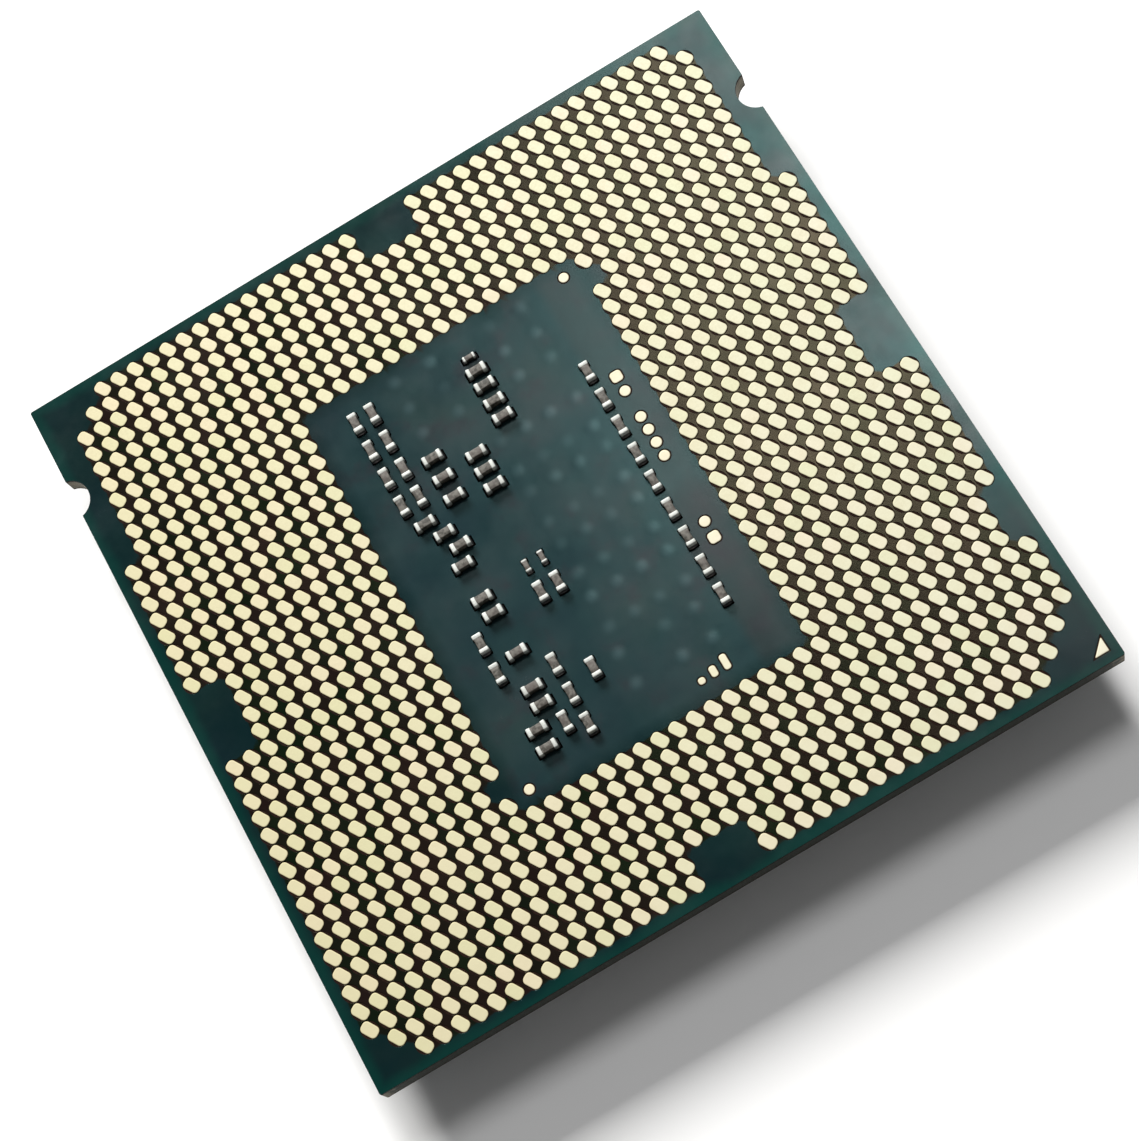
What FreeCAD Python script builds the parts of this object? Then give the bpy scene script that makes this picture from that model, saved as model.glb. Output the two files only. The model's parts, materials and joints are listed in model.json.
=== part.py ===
"""Desktop processor in a 1150-contact land grid package, lying on its heat spreader.

Millimetres. +Z points out of the land face, +Y points to the edge that the two key notches
are nearest to, and the pin-one corner is at +X -Y. The origin is the centre of the package
on the outer face of the heat spreader, so the part rests on the plane z = 0.
From z = 0 upward the parts are: heat spreader, sealant, substrate layers, lands, capacitors.
"""
import math
import os

import FreeCAD
import Part

V = FreeCAD.Vector

# ---- package outline -------------------------------------------------------------------
PACKAGE = 37.5               # square side of the substrate
HALF = PACKAGE / 2.0
PACKAGE_CORNER_R = 0.1
NOTCH_Y = 13.6               # centre of both key notches
NOTCH_R = 1.03
NOTCH_OUTSET = 0.25          # how far the notch circle's centre lies outside the edge

# ---- layer thicknesses, from the outer face of the lid to the lands ----------------------
LID_HEIGHT = 3.05
SEALANT_T = 0.13
MASK_T = 0.02
FILM_T = 0.12                # build-up film, including the copper plane buried in it
PLANE_T = 0.02
CORE_T = 0.87
LAND_PROUD = 0.02            # lands stand this far above the solder mask

Z_LID_FOOT = LID_HEIGHT
Z_LOWER_MASK = Z_LID_FOOT + SEALANT_T
Z_LOWER_FILM = Z_LOWER_MASK + MASK_T
Z_CORE = Z_LOWER_FILM + FILM_T
Z_UPPER_FILM = Z_CORE + CORE_T
Z_UPPER_MASK = Z_UPPER_FILM + FILM_T
Z_MASK_TOP = Z_UPPER_MASK + MASK_T
Z_LAND_TOP = Z_MASK_TOP + LAND_PROUD

PLANE_SETBACK = 0.4          # copper planes stop this far inside the sawn edge

# ---- land grid -------------------------------------------------------------------------
GRID_PITCH = 0.9144
GRID_SIZE = 40
LAND_LENGTH = 0.855
LAND_WIDTH = 0.57
LAND_CORNER_R = 0.22
LAND_TURN = 122.0            # direction of the long axis, degrees from +X
OPENING_LENGTH = 0.94        # oval opening in the mask round each land
OPENING_WIDTH = 0.80
LAND_COUNT = 1150

# First row, last row, then the spans of columns that hold lands. Row 0 is at +Y, column 0 at -X.
LAND_SPANS = (
    (0, 0, ((3, 18), (22, 37))),
    (1, 1, ((2, 18), (22, 38))),
    (2, 7, ((1, 38),)),
    (8, 8, ((1, 11), (28, 38))),
    (9, 9, ((1, 11), (29, 38))),
    (10, 17, ((0, 11), (28, 39))),
    (18, 21, ((2, 11), (28, 37))),
    (22, 29, ((0, 11), (28, 39))),
    (30, 30, ((0, 10), (28, 38))),
    (31, 31, ((0, 11), (28, 38))),
    (32, 32, ((0, 38),)),
    (33, 36, ((0, 39),)),
    (37, 37, ((0, 38),)),
    (38, 38, ((1, 17), (21, 37))),
    (39, 39, ((2, 17), (21, 36))),
)
SECTOR_ROWS = (8, 31)        # the east and west sectors run between these rows
MIDDLE_X = 8 * GRID_PITCH    # half-size of the middle, where there are no lands
MIDDLE_Y = 12 * GRID_PITCH

# The land-side solder mask is laid as nine tiles that meet edge to edge: x from, x to, y from, y to.
MASK_TILES = (
    (-MIDDLE_X, MIDDLE_X, -MIDDLE_Y, MIDDLE_Y),
    (-HALF, 0.0, MIDDLE_Y, HALF),
    (0.0, HALF, MIDDLE_Y, HALF),
    (-HALF, 0.0, -HALF, -MIDDLE_Y),
    (0.0, HALF, -HALF, -MIDDLE_Y),
    (-HALF, -MIDDLE_X, -MIDDLE_Y, 0.0),
    (-HALF, -MIDDLE_X, 0.0, MIDDLE_Y),
    (MIDDLE_X, HALF, -MIDDLE_Y, 0.0),
    (MIDDLE_X, HALF, 0.0, MIDDLE_Y),
)

# ---- plated marks and pads in the middle of the land face --------------------------------
FIDUCIAL_D = 0.5
FIDUCIALS = ((6.56, 10.3), (-6.57, -10.3))
TEST_PAD_X = 6.26
ROUND_PAD_D = 0.53
ROUND_PAD_YS = (3.77, 2.27, 1.54, 0.80, 0.04, -3.70)
SQUARE_PAD = 0.57
SQUARE_PAD_YS = (4.61, -4.57)
PIN_ONE_LEG = 0.72
PIN_ONE_CORNER = (18.25, -18.27)     # the right-angled corner of the triangle
MARK_BAR_W = 0.34
MARK_BAR_HEIGHTS = (0.33, 0.55, 0.77)
MARK_BAR_PITCH = 0.66
MARK_FIRST_X = 2.47
MARK_FOOT_Y = -10.24

# ---- capacitors ------------------------------------------------------------------------
LARGE_CAP = (1.0, 0.5, 0.5)          # length, width, height
SMALL_CAP = (0.66, 0.33, 0.33)
TERMINAL_SHARE = 0.24                # each end cap's share of the length
TERMINAL_T = 0.015                   # metal thickness of an end cap
CAP_PAD_REACH = 0.11                 # pad beyond the end of the capacitor
CAP_PAD_SIDE = 0.03                  # pad beyond its sides
ALONG_X = 0.0
ALONG_Y = 90.0

# ---- inside the package ------------------------------------------------------------------
VIA_D = 0.3
VIA_PITCH = 2.4
VIA_GRID = 13
DIE_CENTRE = (1.2, -1.0)
DIE_SIZE = (8.2, 21.6)
DIE_T = 0.78
PASTE_T = 0.12
BUMP_T = 0.10
BUMP_D = 0.4
BUMP_PITCH = 0.9
UNDERFILL_SKIRT = 0.9                # how far the underfill spreads beyond the die
UNDERFILL_CLIMB = 0.38               # how far it climbs the die's sides
Z_DIE_FACE = Z_LOWER_FILM - BUMP_T   # the die's active face
Z_DIE_BACK = Z_DIE_FACE - DIE_T
Z_CAVITY = Z_DIE_BACK - PASTE_T      # ceiling of the lid's cavity

# ---- heat spreader -----------------------------------------------------------------------
PLATEAU = (27.5, 31.0)
PLATEAU_CORNER_R = 1.6
PLATEAU_CHAMFER = 0.3
FLANGE = (29.6, 32.4)
FLANGE_CORNER_R = 2.0
FLANGE_T = 1.5
EARS = (33.0, 21.5)
EAR_CORNER_R = 1.2
CAVITY = (22.0, 26.0)
CAVITY_CORNER_R = 3.0
BEAD_INSET = 0.35                    # sealant bead, inside the lid's outline
BEAD_CLEAR = 0.45                    # and clear of the cavity
VENT_GAP = 3.0                       # gap in the bead on the -Y side

# ---- lid side of the substrate, outside the heat spreader ------------------------------------
LID_SIDE_PAD = 0.5
LID_SIDE_PAD_X = 17.6
LID_SIDE_PAD_YS = (-3.6, -1.8, 0.0, 1.8, 3.6)
DIE_SIDE_CAP_X = -6.4
DIE_SIDE_CAP_YS = (-5.0, -2.5, 0.0, 2.5, 5.0)


def column(x, first_y, pitch, count, turn):
    """Evenly spaced capacitor places, running in -Y."""
    return [(x, first_y - i * pitch, turn) for i in range(count)]


# Places are (x, y, direction of the long axis).
LARGE_BANKS = {
    "upper_left": column(-5.29, 9.26, 1.605, 4, ALONG_Y) + column(-4.38, 9.26, 1.605, 4, ALONG_Y),
    "upper_middle": [(0.84, y, ALONG_X) for y in (8.39, 7.55, 6.60, 5.73)],
    "inner_left": column(-2.97, 5.72, 1.10, 3, ALONG_X),
    "inner_middle": column(-1.10, 4.80, 0.91, 3, ALONG_X),
    "left_stair": [
        (-4.76, 3.09, ALONG_X), (-4.20, 2.20, ALONG_X), (-3.82, 1.30, ALONG_X),
        (-4.18, 0.40, ALONG_X), (-4.19, -1.49, ALONG_X), (-4.07, -2.38, ALONG_X),
        (-5.25, -3.33, ALONG_Y), (-5.25, -4.97, ALONG_Y), (-4.02, -4.57, ALONG_X),
    ],
    "lower_left": [
        (-4.20, -6.37, ALONG_X), (-4.19, -7.26, ALONG_X), (-4.94, -8.18, ALONG_X),
        (-4.94, -9.15, ALONG_X), (-3.67, -8.52, ALONG_Y),
    ] + column(-2.81, -5.93, 1.60, 3, ALONG_Y),
    "lower_middle": [(-1.72, -2.64, ALONG_Y), (-0.82, -2.64, ALONG_Y), (-1.38, -7.02, ALONG_Y)],
    "right_column": column(5.23, 5.45, 1.573, 9, ALONG_Y),
}
SMALL_PLACES = [(0.84, 9.20, ALONG_X), (-1.70, -1.20, ALONG_Y), (-0.88, -1.20, ALONG_Y)]


# ---- outlines ----------------------------------------------------------------------------
def rounded_rectangle(size, radius, z=0.0, centre=(0.0, 0.0), turn=0.0):
    """Closed wire, counter-clockwise seen from +Z."""
    reach_x = size[0] / 2.0 - radius
    reach_y = size[1] / 2.0 - radius
    sides = ((1, 1), (-1, 1), (-1, -1), (1, -1))
    arcs = []
    for quarter, (side_x, side_y) in enumerate(sides):
        points = []
        for step in (0.0, 45.0, 90.0):
            angle = math.radians(quarter * 90.0 + step)
            points.append(V(side_x * reach_x + radius * math.cos(angle),
                            side_y * reach_y + radius * math.sin(angle), 0.0))
        arcs.append(points)
    edges = []
    for quarter, points in enumerate(arcs):
        following = arcs[(quarter + 1) % 4]
        edges.append(Part.Arc(*points).toShape())
        if (following[0] - points[2]).Length > 1e-6:
            edges.append(Part.LineSegment(points[2], following[0]).toShape())
    wire = Part.Wire(edges)
    wire.rotate(V(0, 0, 0), V(0, 0, 1), turn)
    wire.translate(V(centre[0], centre[1], z))
    return wire


def circle(diameter, centre, z):
    return Part.Wire([Part.makeCircle(diameter / 2.0, V(centre[0], centre[1], z))])


def triangle(z):
    corner_x, corner_y = PIN_ONE_CORNER
    corner = V(corner_x, corner_y, z)
    up = V(corner_x, corner_y + PIN_ONE_LEG, z)
    left = V(corner_x - PIN_ONE_LEG, corner_y, z)
    return Part.makePolygon([corner, up, left, corner])


def slab(outer, thickness, holes=()):
    """Plate standing on the outer wire, with the inner wires cut through."""
    reversed_holes = []
    for hole in holes:
        inner = hole.copy()
        inner.reverse()
        reversed_holes.append(inner)
    face = Part.Face([outer] + reversed_holes)
    return face.extrude(V(0, 0, thickness))


def plate(size, radius, z, thickness, centre=(0.0, 0.0)):
    return slab(rounded_rectangle(size, radius, z, centre), thickness)


def notch_cutters(z, thickness, grow=0.0):
    cutters = []
    for side in (-1, 1):
        centre = V(side * (HALF + NOTCH_OUTSET), NOTCH_Y, z)
        cutters.append(Part.makeCylinder(NOTCH_R + grow, thickness, centre))
    return Part.makeCompound(cutters)


def substrate_outline(z, setback=0.0):
    """Outer wire of a substrate layer, with both key notches."""
    side = PACKAGE - 2.0 * setback
    face = Part.Face(rounded_rectangle((side, side), PACKAGE_CORNER_R, z))
    cutters = notch_cutters(z - 1.0, 2.0, setback)
    return face.cut(cutters).Faces[0].OuterWire


# ---- lands and marks -----------------------------------------------------------------------
def land_places():
    """Row number and centre of every land."""
    places = []
    middle = (GRID_SIZE - 1) / 2.0
    for first, last, spans in LAND_SPANS:
        for row in range(first, last + 1):
            for start, end in spans:
                for col in range(start, end + 1):
                    places.append((row, (col - middle) * GRID_PITCH, (middle - row) * GRID_PITCH))
    if len(places) != LAND_COUNT:
        raise ValueError("land map holds %d lands" % len(places))
    return places


def land_sector(row, x):
    first, last = SECTOR_ROWS
    if row < first:
        return "north"
    if row > last:
        return "south"
    return "east" if x > 0 else "west"


def opening_wire(z):
    """Oval outline of the opening in the mask round a land at the origin."""
    along = V(math.cos(math.radians(LAND_TURN)), math.sin(math.radians(LAND_TURN)), 0)
    across = V(-along.y, along.x, 0)
    tip = along * (OPENING_LENGTH / 2.0)
    flank = across * (OPENING_WIDTH / 2.0)
    wire = Part.Wire([Part.Ellipse(tip, flank, V(0, 0, 0)).toShape()])
    wire.translate(V(0, 0, z))
    return wire


def make_lands():
    size = (LAND_LENGTH, LAND_WIDTH)
    outline = rounded_rectangle(size, LAND_CORNER_R, Z_UPPER_MASK, turn=LAND_TURN)
    pattern = slab(outline, Z_LAND_TOP - Z_UPPER_MASK)
    sectors = {}
    for row, x, y in land_places():
        sectors.setdefault(land_sector(row, x), []).append(pattern.translated(V(x, y, 0)))
    return {"lands_" + name: solids for name, solids in sectors.items()}


def mark_wires(z):
    """Outlines of the plated marks on the land face, one list per node."""
    square = (SQUARE_PAD, SQUARE_PAD)
    pads = [circle(ROUND_PAD_D, (TEST_PAD_X, y), z) for y in ROUND_PAD_YS]
    pads += [rounded_rectangle(square, 0.04, z, (TEST_PAD_X, y)) for y in SQUARE_PAD_YS]
    bars = []
    for index, height in enumerate(MARK_BAR_HEIGHTS):
        centre = (MARK_FIRST_X + index * MARK_BAR_PITCH, MARK_FOOT_Y + height / 2.0)
        bars.append(rounded_rectangle((MARK_BAR_W, height), 0.05, z, centre))
    return {
        "pin_one_triangle": [triangle(z)],
        "fiducial_dots": [circle(FIDUCIAL_D, centre, z) for centre in FIDUCIALS],
        "test_pads": pads,
        "index_bars": bars,
    }


def lid_side_mark_wires(z):
    pads = []
    for side in (-1, 1):
        for y in LID_SIDE_PAD_YS:
            centre = (side * LID_SIDE_PAD_X, y)
            pads.append(rounded_rectangle((LID_SIDE_PAD, LID_SIDE_PAD), 0.06, z, centre))
    return {"lid_side_triangle": [triangle(z)], "lid_side_pads": pads}


# ---- capacitors ------------------------------------------------------------------------------
def cap_pad_wires(place, size, z):
    """The two solder pads of one capacitor."""
    x, y, turn = place
    length, width, _ = size
    pad_length = length * TERMINAL_SHARE + CAP_PAD_REACH
    direction = V(math.cos(math.radians(turn)), math.sin(math.radians(turn)), 0)
    wires = []
    for side in (-1, 1):
        offset = direction * (side * (length / 2.0 + CAP_PAD_REACH - pad_length / 2.0))
        pad_size = (pad_length, width + 2 * CAP_PAD_SIDE)
        wires.append(rounded_rectangle(pad_size, 0.04, z, (x + offset.x, y + offset.y), turn))
    return wires


def centred_box(size, z):
    return Part.makeBox(size[0], size[1], size[2], V(-size[0] / 2.0, -size[1] / 2.0, z))


def solder_profile(length, height):
    """Hollow-fronted fillet in the XZ plane, from the terminal's end out over the pad."""
    inner = V(length / 2.0, 0, 0)
    foot = V(length / 2.0 + CAP_PAD_REACH, 0, 0)
    knee = V(length / 2.0 + CAP_PAD_REACH * 0.3, 0, height * 0.2)
    top = V(length / 2.0, 0, height * 0.6)
    return Part.Face(Part.makePolygon([inner, foot, knee, top, inner]))


def capacitor(size):
    """Body, end caps and solder fillets of one capacitor standing on z = 0, long axis X."""
    length, width, height = size
    cap_length = length * TERMINAL_SHARE
    skin = TERMINAL_T
    body = centred_box((length - 2 * skin, width - 2 * skin, height - 2 * skin), skin)
    terminals = []
    fillets = []
    for side in (-1, 1):
        shell = centred_box((cap_length, width, height), 0.0)
        shell.translate(V(side * (length - cap_length) / 2.0, 0, 0))
        terminals.append(shell.cut(body))
        profile = solder_profile(length, height)
        profile.translate(V(0, -width / 2.0, 0))
        fillet = profile.extrude(V(0, width, 0))
        if side < 0:
            fillet.rotate(V(0, 0, 0), V(0, 0, 1), 180)
        fillets.append(fillet)
    return [body], terminals, fillets


def placed(solids, place, z, face_down=False):
    x, y, turn = place
    result = []
    for solid in solids:
        copy = solid.copy()
        if face_down:
            copy.rotate(V(0, 0, 0), V(1, 0, 0), 180)
        copy.rotate(V(0, 0, 0), V(0, 0, 1), turn)
        copy.translate(V(x, y, z))
        result.append(copy)
    return result


def make_capacitors():
    nodes = {"capacitor_solder": []}
    banks = [(name, LARGE_CAP, places) for name, places in LARGE_BANKS.items()]
    banks.append(("small", SMALL_CAP, SMALL_PLACES))
    for name, size, places in banks:
        bodies, terminals, fillets = capacitor(size)
        nodes["capacitor_bodies_" + name] = []
        nodes["capacitor_terminals_" + name] = []
        for place in places:
            nodes["capacitor_bodies_" + name] += placed(bodies, place, Z_MASK_TOP)
            nodes["capacitor_terminals_" + name] += placed(terminals, place, Z_MASK_TOP)
            nodes["capacitor_solder"] += placed(fillets, place, Z_MASK_TOP)
    return nodes


def land_side_cap_pads(z):
    wires = []
    for places in LARGE_BANKS.values():
        for place in places:
            wires += cap_pad_wires(place, LARGE_CAP, z)
    for place in SMALL_PLACES:
        wires += cap_pad_wires(place, SMALL_CAP, z)
    return wires


def die_side_places():
    return [(DIE_SIDE_CAP_X, y, ALONG_Y) for y in DIE_SIDE_CAP_YS]


def make_die_side_capacitors():
    bodies, terminals, fillets = capacitor(LARGE_CAP)
    nodes = {"die_side_capacitor_bodies": [], "die_side_capacitor_terminals": []}
    nodes["die_side_solder"] = []
    for place in die_side_places():
        nodes["die_side_capacitor_bodies"] += placed(bodies, place, Z_LOWER_MASK, True)
        nodes["die_side_capacitor_terminals"] += placed(terminals, place, Z_LOWER_MASK, True)
        nodes["die_side_solder"] += placed(fillets, place, Z_LOWER_MASK, True)
    return nodes


def die_side_cap_pads(z):
    wires = []
    for place in die_side_places():
        wires += cap_pad_wires(place, LARGE_CAP, z)
    return wires


# ---- substrate layers --------------------------------------------------------------------------
def via_places():
    middle = (VIA_GRID - 1) / 2.0
    steps = [(index - middle) * VIA_PITCH for index in range(VIA_GRID)]
    return [(x, y) for x in steps for y in steps]


def make_core():
    holes = [circle(VIA_D, place, Z_CORE) for place in via_places()]
    core = slab(substrate_outline(Z_CORE), CORE_T, holes)
    vias = [Part.makeCylinder(VIA_D / 2.0, CORE_T, V(x, y, Z_CORE)) for x, y in via_places()]
    return {"core_laminate": [core], "core_vias": vias}


def make_films():
    """Build-up films, each with a copper plane let into the face that lies on the core."""
    lower_plane = slab(substrate_outline(Z_CORE - PLANE_T, PLANE_SETBACK), PLANE_T)
    upper_plane = slab(substrate_outline(Z_UPPER_FILM, PLANE_SETBACK), PLANE_T)
    lower_film = slab(substrate_outline(Z_LOWER_FILM), FILM_T).cut(lower_plane)
    upper_film = slab(substrate_outline(Z_UPPER_FILM), FILM_T).cut(upper_plane)
    return {
        "build_up_film_lid_side": [lower_film],
        "copper_plane_lid_side": [lower_plane],
        "build_up_film_land_side": [upper_film],
        "copper_plane_land_side": [upper_plane],
    }


def make_land_side_mask():
    """Solder mask with its openings, and the plated marks and pads that fill them."""
    z = Z_UPPER_MASK
    marks = mark_wires(z)
    marks["capacitor_pads"] = land_side_cap_pads(z)
    opening = opening_wire(z)
    openings = [opening.translated(V(x, y, 0)) for _, x, y in land_places()]
    nodes = {}
    for name, wires in marks.items():
        nodes[name] = [slab(wire, MASK_T) for wire in wires]
        openings += wires
    nodes["solder_mask_land_side"] = [mask_tile(tile, z, openings) for tile in MASK_TILES]
    return nodes


def mask_tile(tile, z, openings):
    """One tile of the land-side mask, with the openings whose middle lies in it."""
    x_from, x_to, y_from, y_to = tile
    window = Part.makeBox(x_to - x_from, y_to - y_from, 2.0, V(x_from, y_from, z - 1.0))
    outer = Part.Face(substrate_outline(z)).common(window).Faces[0].OuterWire
    holes = []
    for wire in openings:
        middle = wire.BoundBox.Center
        if x_from < middle.x < x_to and y_from < middle.y < y_to:
            holes.append(wire)
    return slab(outer, MASK_T, holes)


def make_lid_side_mask():
    z = Z_LOWER_MASK
    marks = lid_side_mark_wires(z)
    marks["die_side_capacitor_pads"] = die_side_cap_pads(z)
    openings = [rounded_rectangle(DIE_SIZE, 0.1, z, DIE_CENTRE)]
    nodes = {}
    for name, wires in marks.items():
        nodes[name] = [slab(wire, MASK_T) for wire in wires]
        openings += wires
    nodes["solder_mask_lid_side"] = [slab(substrate_outline(z), MASK_T, openings)]
    return nodes


# ---- die, lid and what joins them ----------------------------------------------------------------
def bump_places():
    columns = int(DIE_SIZE[0] / BUMP_PITCH)
    rows = int(DIE_SIZE[1] / BUMP_PITCH)
    places = []
    for i in range(columns):
        for j in range(rows):
            x = DIE_CENTRE[0] + (i - (columns - 1) / 2.0) * BUMP_PITCH
            y = DIE_CENTRE[1] + (j - (rows - 1) / 2.0) * BUMP_PITCH
            places.append((x, y))
    return places


def make_underfill(die, places):
    """Epoxy round the bumps, with a skirt that climbs the sides of the die."""
    foot_size = (DIE_SIZE[0] + 2 * UNDERFILL_SKIRT, DIE_SIZE[1] + 2 * UNDERFILL_SKIRT)
    top_size = (DIE_SIZE[0] + 0.2, DIE_SIZE[1] + 0.2)
    foot = rounded_rectangle(foot_size, 1.0, Z_LOWER_MASK, DIE_CENTRE)
    top = rounded_rectangle(top_size, 0.3, Z_DIE_FACE - UNDERFILL_CLIMB, DIE_CENTRE)
    under_die = slab(rounded_rectangle(DIE_SIZE, 0.1, Z_DIE_FACE, DIE_CENTRE), BUMP_T)
    skirt = Part.makeLoft([top, foot], True).cut(die).cut(under_die)
    holes = [circle(BUMP_D, place, Z_DIE_FACE) for place in places]
    fill = slab(rounded_rectangle(DIE_SIZE, 0.1, Z_DIE_FACE, DIE_CENTRE), BUMP_T, holes)
    return fill.fuse(skirt).removeSplitter()


def make_die_stack():
    centre = DIE_CENTRE
    die = plate(DIE_SIZE, 0.1, Z_DIE_BACK, DIE_T, centre)
    paste = plate(DIE_SIZE, 0.1, Z_CAVITY, PASTE_T, centre)
    places = bump_places()
    bumps = [Part.makeCylinder(BUMP_D / 2.0, BUMP_T, V(x, y, Z_DIE_FACE)) for x, y in places]
    return {
        "silicon_die": [die],
        "thermal_paste": [paste],
        "solder_bumps": bumps,
        "underfill": [make_underfill(die, places)],
    }


def lid_foot_plate(z, thickness, inset=0.0):
    """Plate of the lid's outline at its foot: the flange and the two ears."""
    flange_size = (FLANGE[0] - 2 * inset, FLANGE[1] - 2 * inset)
    ears_size = (EARS[0] - 2 * inset, EARS[1] - 2 * inset)
    flange = plate(flange_size, FLANGE_CORNER_R - inset, z, thickness)
    ears = plate(ears_size, EAR_CORNER_R - inset, z, thickness)
    return flange.fuse(ears).removeSplitter()


def make_lid():
    z_flange = Z_LID_FOOT - FLANGE_T
    flange = lid_foot_plate(z_flange, FLANGE_T)
    plateau = plate(PLATEAU, PLATEAU_CORNER_R, 0.0, z_flange)
    rim = [edge for edge in plateau.Edges if edge.BoundBox.ZMax < 1e-6]
    plateau = plateau.makeChamfer(PLATEAU_CHAMFER, rim)
    cavity = plate(CAVITY, CAVITY_CORNER_R, Z_CAVITY, Z_LID_FOOT - Z_CAVITY)
    return flange.fuse(plateau).cut(cavity).removeSplitter()


def make_sealant():
    outer = lid_foot_plate(Z_LID_FOOT, SEALANT_T, BEAD_INSET)
    inner_size = (CAVITY[0] + 2 * BEAD_CLEAR, CAVITY[1] + 2 * BEAD_CLEAR)
    inner = plate(inner_size, CAVITY_CORNER_R + BEAD_CLEAR, Z_LID_FOOT, SEALANT_T)
    vent = Part.makeBox(VENT_GAP, HALF, SEALANT_T, V(-VENT_GAP / 2.0, -HALF, Z_LID_FOOT))
    return outer.cut(inner).cut(vent)


# ---- all nodes -------------------------------------------------------------------------------------
def make_nodes():
    nodes = {}
    nodes.update(make_core())
    nodes.update(make_films())
    nodes.update(make_land_side_mask())
    nodes.update(make_lid_side_mask())
    nodes.update(make_lands())
    nodes.update(make_capacitors())
    nodes.update(make_die_side_capacitors())
    nodes.update(make_die_stack())
    nodes["heat_spreader_lid"] = [make_lid()]
    nodes["lid_sealant"] = [make_sealant()]
    return nodes


def export(nodes):
    os.makedirs("parts", exist_ok=True)
    for name, shapes in nodes.items():
        solids = []
        for shape in shapes:
            solids += shape.Solids
        shape = solids[0] if len(solids) == 1 else Part.makeCompound(solids)
        shape.exportStep("parts/%s.step" % name)
        print("%-36s %4d solids  %9.3f mm3" % (name, len(solids), shape.Volume))


export(make_nodes())
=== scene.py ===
"""Looks of a desktop processor in a land grid package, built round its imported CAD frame.

Everything is in metres in the CAD frame: lands up (+Z), key notches near the +Y edge,
pin-one corner at +X -Y, face of the heat spreader at z = 0.
"""
import json
import math
import random

import bmesh
import bpy
from mathutils import Matrix, Vector
from mathutils.geometry import delaunay_2d_cdt
from mathutils.kdtree import KDTree


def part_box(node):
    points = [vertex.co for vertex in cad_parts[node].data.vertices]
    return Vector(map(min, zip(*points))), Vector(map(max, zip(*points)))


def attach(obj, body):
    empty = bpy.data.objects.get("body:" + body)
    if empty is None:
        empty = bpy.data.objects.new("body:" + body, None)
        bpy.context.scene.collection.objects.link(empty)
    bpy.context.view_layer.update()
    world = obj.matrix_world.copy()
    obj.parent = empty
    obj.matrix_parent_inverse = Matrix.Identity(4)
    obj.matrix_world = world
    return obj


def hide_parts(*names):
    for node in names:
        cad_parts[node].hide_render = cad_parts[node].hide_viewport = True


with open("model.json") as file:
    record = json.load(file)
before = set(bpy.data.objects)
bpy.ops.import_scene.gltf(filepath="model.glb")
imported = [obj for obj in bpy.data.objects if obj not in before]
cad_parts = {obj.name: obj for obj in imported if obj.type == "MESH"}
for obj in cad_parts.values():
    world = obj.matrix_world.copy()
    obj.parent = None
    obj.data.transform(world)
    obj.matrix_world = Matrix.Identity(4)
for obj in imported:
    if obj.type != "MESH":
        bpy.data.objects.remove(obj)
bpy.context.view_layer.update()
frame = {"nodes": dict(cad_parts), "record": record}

MM = 0.001
RNG = random.Random(1150)

# ---- heights, read from the frame, and the outline ------------------------------------------
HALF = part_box("core_laminate")[1].x
Z_FILM_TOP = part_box("build_up_film_land_side")[1].z
Z_MASK_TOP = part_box("solder_mask_land_side")[1].z
Z_LAND_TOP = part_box("lands_north")[1].z
Z_LOWER_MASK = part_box("solder_mask_lid_side")[0].z
Z_LOWER_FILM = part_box("solder_mask_lid_side")[1].z
Z_LID_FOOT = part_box("heat_spreader_lid")[1].z
PACKAGE_CORNER_R = 0.1 * MM
NOTCH_Y = 13.6 * MM
NOTCH_R = 1.03 * MM
NOTCH_OUTSET = 0.25 * MM

# ---- lands ----------------------------------------------------------------------------------
GRID_PITCH = 0.9144 * MM
LAND_LENGTH = 0.855 * MM
LAND_WIDTH = 0.57 * MM
LAND_CORNER_R = 0.22 * MM
LAND_TURN = math.radians(122.0)
SHOULDER_REACH = 0.05 * MM           # rounding of a plated pad's edge, seen from above
SHOULDER_DEPTH = 0.014 * MM          # and how far it drops
CROWDED_REACH = 0.8 * GRID_PITCH     # the mask is dark where two lands are nearer than this
OPENING_LENGTH = 0.94 * MM           # the mask's opening round a land
OPENING_WIDTH = 0.80 * MM
MASK_LIP = 0.010 * MM                # rounding of the mask's openings and rim

# ---- plated marks ---------------------------------------------------------------------------
MARK_PROUD = 0.01 * MM               # how far marks stand above the mask
MARK_GAP = 0.06 * MM                 # bare film round each mark
MARK_CORNER_R = 0.17 * MM            # at most this, on square pads and bars
TRIANGLE_POINT_R = 0.03 * MM
ROUND_SIDES_DIFFER = 0.02 * MM       # a pad is round if its sides differ by less than this
ROUND_REACH_SHARE = 0.54             # and no point is further out than this share of its width

# ---- middle field and its domes in the mask, over the filled vias ---------------------------
MIDDLE_HALF_X = 8 * GRID_PITCH
MIDDLE_HALF_Y = 12 * GRID_PITCH
TEST_PAD_STRIP = (4.9 * MM, 5.6 * MM)    # where the greyer strip beside the test pads begins
DOME_R = 0.48 * MM
DOME_RISE = 0.007 * MM               # of the highest dome
DOME_LEAST_SHARE = 0.35              # of the lowest one, as a share of the highest
DOME_RINGS = ((0.0, 1), (0.25, 8), (0.5, 12), (0.75, 16), (1.0, 16))    # share of DOME_R, points
DOME_COLUMNS = (0.12, 1.46, 2.75, 4.12)     # mm, like the rows
DOME_ROWS = (4.80, 3.11, 1.93, 0.17, -1.07, -2.71, -4.00, -5.67)
LOWER_DOME_COLUMNS = (-0.12, 2.30, 3.84)
LOWER_DOME_ROWS = (-6.97, -8.61)
UPPER_DOME_COLUMNS = (-2.80, -0.88, 2.36, 4.06)
UPPER_DOME_ROWS = (10.14, 8.64, 7.20)

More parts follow.
